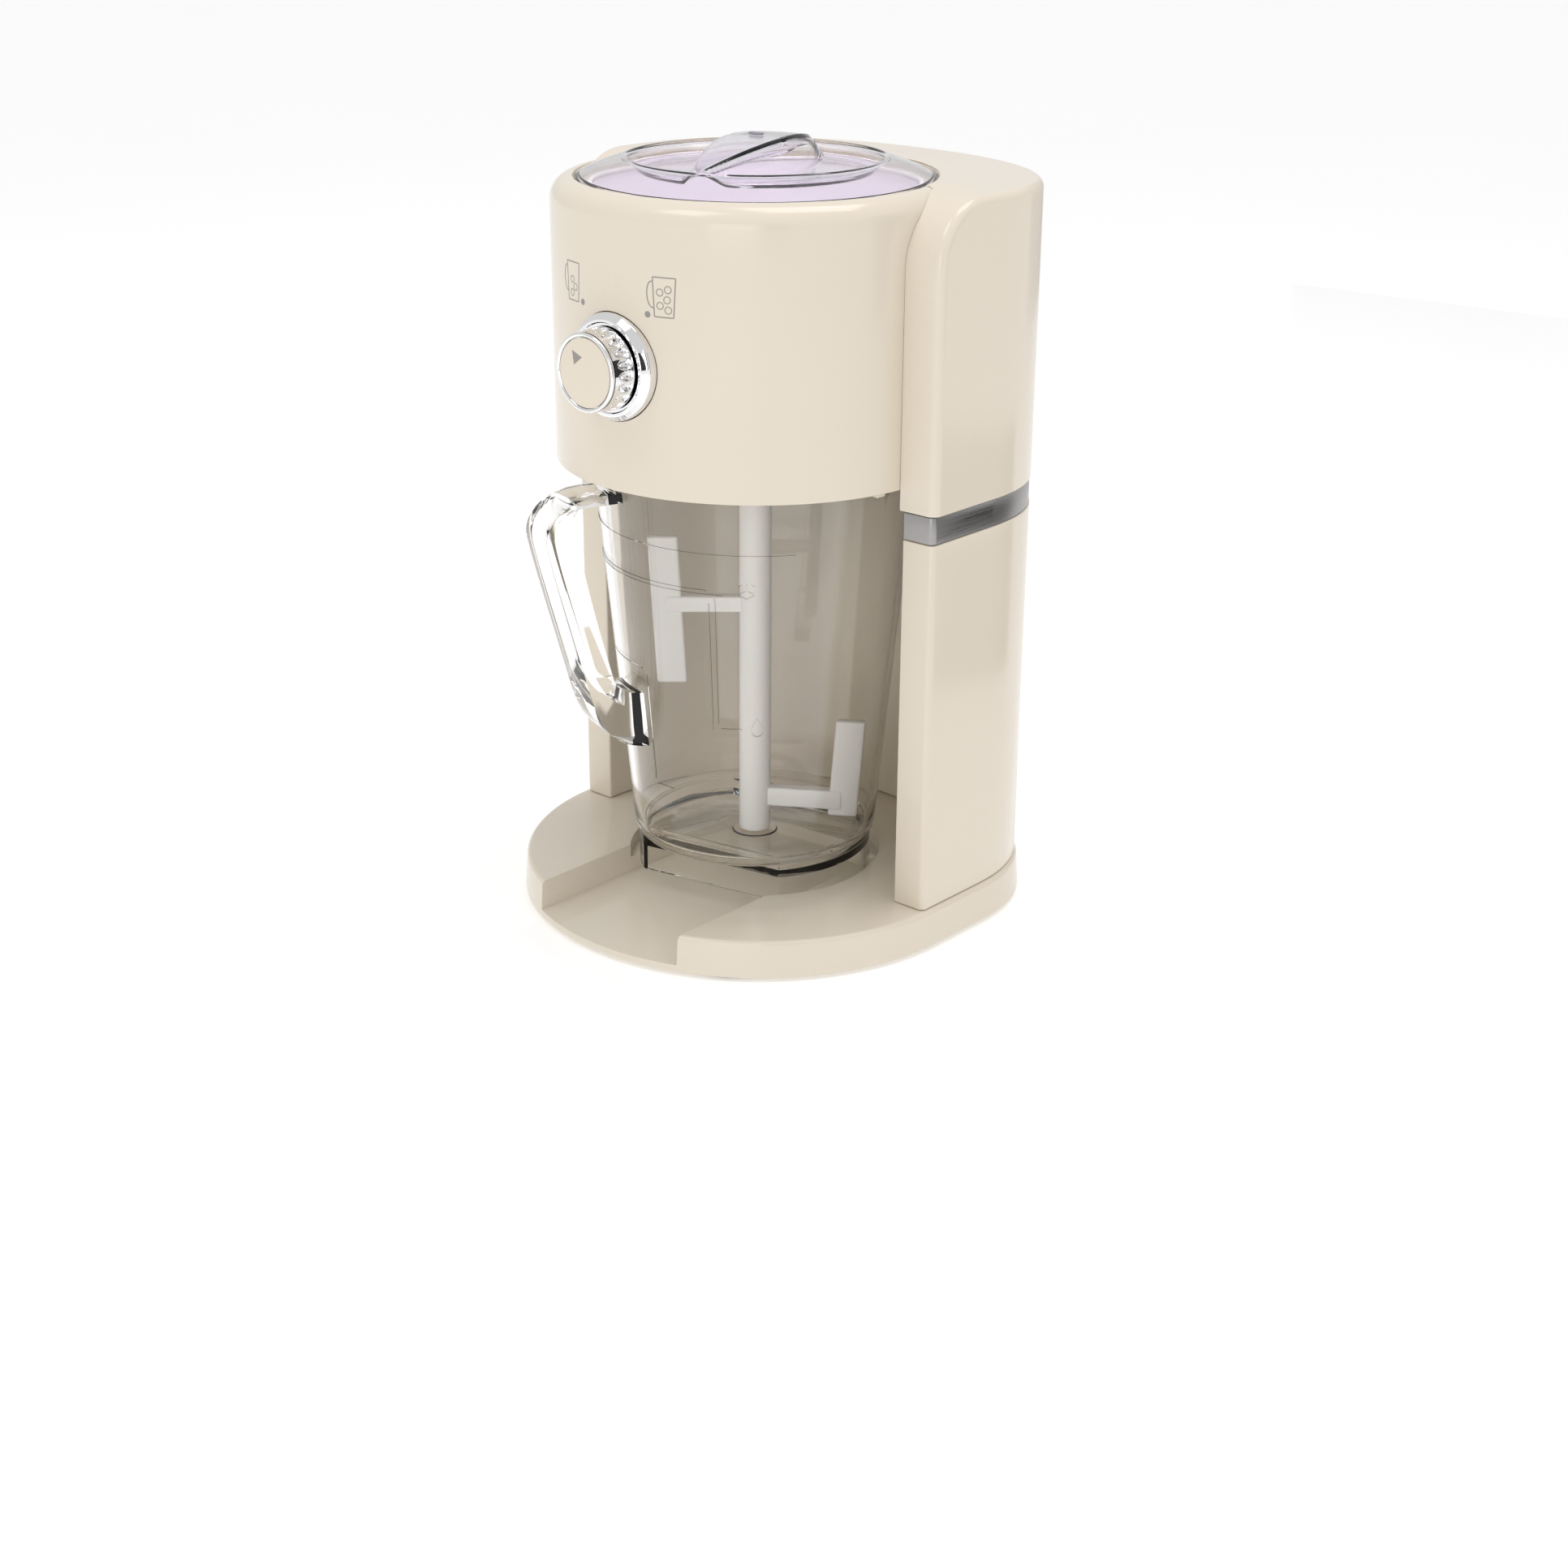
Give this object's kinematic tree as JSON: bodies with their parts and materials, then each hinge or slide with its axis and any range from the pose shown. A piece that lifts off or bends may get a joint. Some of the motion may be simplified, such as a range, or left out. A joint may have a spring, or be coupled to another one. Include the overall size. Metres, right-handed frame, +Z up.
{
  "type": "frozen drink maker",
  "caption": "Countertop ice-slush maker: ivory body with a round head and clear domed lid, knob, steel band, and a clear jug with spout, handle and stirring paddle.",
  "frame": {"origin": "bottom centre of the whole part, on the surface that the rubber feet stand on", "axes": "+Z up; the knob and the open front of the jug bay face -Y; +X is to the right when facing the knob"},
  "size_m": [0.192, 0.197, 0.305],
  "materials": {
    "ivory": "satin gloss",
    "inner_plastic": "matte",
    "steel": "brushed",
    "chrome": "polished",
    "clear_plastic": "clear, polished",
    "white_plastic": "satin",
    "rubber": "matte",
    "white_silicone": "matte",
    "gear_nylon": "satin",
    "dark_plastic": "matte",
    "grey_plastic": "gloss",
    "circuit_board": "matte",
    "brass": "turned"
  },
  "bodies": {
    "housing": {"base_shell": "ivory", "base_cover": "inner_plastic", "foot_front_left": "rubber", "foot_front_right": "rubber", "foot_rear_left": "rubber", "foot_rear_right": "rubber", "base_screw_left": "steel", "base_screw_right": "steel", "base_screw_rear_left": "steel", "base_screw_rear_right": "steel", "lower_column": "ivory", "cord_inlet": "rubber", "trim_band": "steel", "upper_housing": "ivory", "drum_shell": "ivory", "drum_floor": "ivory", "jug_catch": "ivory", "gear_deck": "inner_plastic", "ice_chute": "inner_plastic", "hopper": "inner_plastic", "lid_seal": "white_silicone", "shaver_blade": "steel", "idler_pin": "steel", "lower_bush": "brass", "upper_bush": "brass", "shaft_seal": "rubber", "motor_plate": "steel", "motor_can": "steel", "motor_screw_left": "steel", "motor_screw_right": "steel", "interlock_switch": "dark_plastic", "knob_bezel": "chrome", "rotary_switch": "dark_plastic", "control_board": "circuit_board"},
    "drive": {"drive_shaft": "steel", "drive_coupling": "steel", "main_gear": "gear_nylon", "ice_rotor": "white_plastic"},
    "paddle": {"paddle": "white_plastic"},
    "idler": {"idler_gear": "gear_nylon"},
    "motor_rotor": {"motor_pinion": "brass"},
    "jug": {"jug": "clear_plastic", "jug_foot": "clear_plastic", "jug_handle": "clear_plastic"},
    "lid": {"lid": "clear_plastic", "lid_inset": "grey_plastic"},
    "knob": {"knob_grip": "chrome", "knob_rim": "chrome", "knob_cap": "ivory", "knob_spindle": "steel"},
    "plunger": {"interlock_plunger": "white_plastic"}
  },
  "joints": [
    {"name": "drive_spin", "type": "hinge", "parent": "housing", "child": "drive", "pos_m": [0, -0.0045, 0.2015], "axis": [0, 0, 1], "continuous": true},
    {"name": "paddle_spin", "type": "hinge", "parent": "housing", "child": "paddle", "pos_m": [0, -0.0045, 0.1015], "axis": [0, 0, 1], "continuous": true},
    {"name": "idler_spin", "type": "hinge", "parent": "housing", "child": "idler", "pos_m": [0, 0.0375, 0.1935], "axis": [0, 0, 1], "continuous": true},
    {"name": "motor_spin", "type": "hinge", "parent": "housing", "child": "motor_rotor", "pos_m": [0, 0.0675, 0.2015], "axis": [0, 0, 1], "continuous": true},
    {"name": "jug_twist", "type": "hinge", "parent": "housing", "child": "jug", "pos_m": [0, -0.0045, 0.0215], "axis": [0, 0, 1], "range_deg": [0, 78]},
    {"name": "lid_twist", "type": "hinge", "parent": "housing", "child": "lid", "pos_m": [0, -0.0045, 0.2865], "axis": [0, 0, 1], "range_deg": [0, 25]},
    {"name": "knob_turn", "type": "hinge", "parent": "housing", "child": "knob", "pos_m": [0, -0.0895, 0.2295], "axis": [0, 1, 0], "range_deg": [0, 76]},
    {"name": "plunger_press", "type": "slide", "parent": "housing", "child": "plunger", "axis": [0, 0, 1], "range_m": [-0.002, 0], "stiffness_N_per_m": 120, "springref_m": 0.002}
  ],
  "couplings": [
    {"joint": "paddle_spin", "follows": "drive_spin", "ratio": 1},
    {"joint": "idler_spin", "follows": "drive_spin", "ratio": -3},
    {"joint": "motor_spin", "follows": "drive_spin", "ratio": 9}
  ]
}
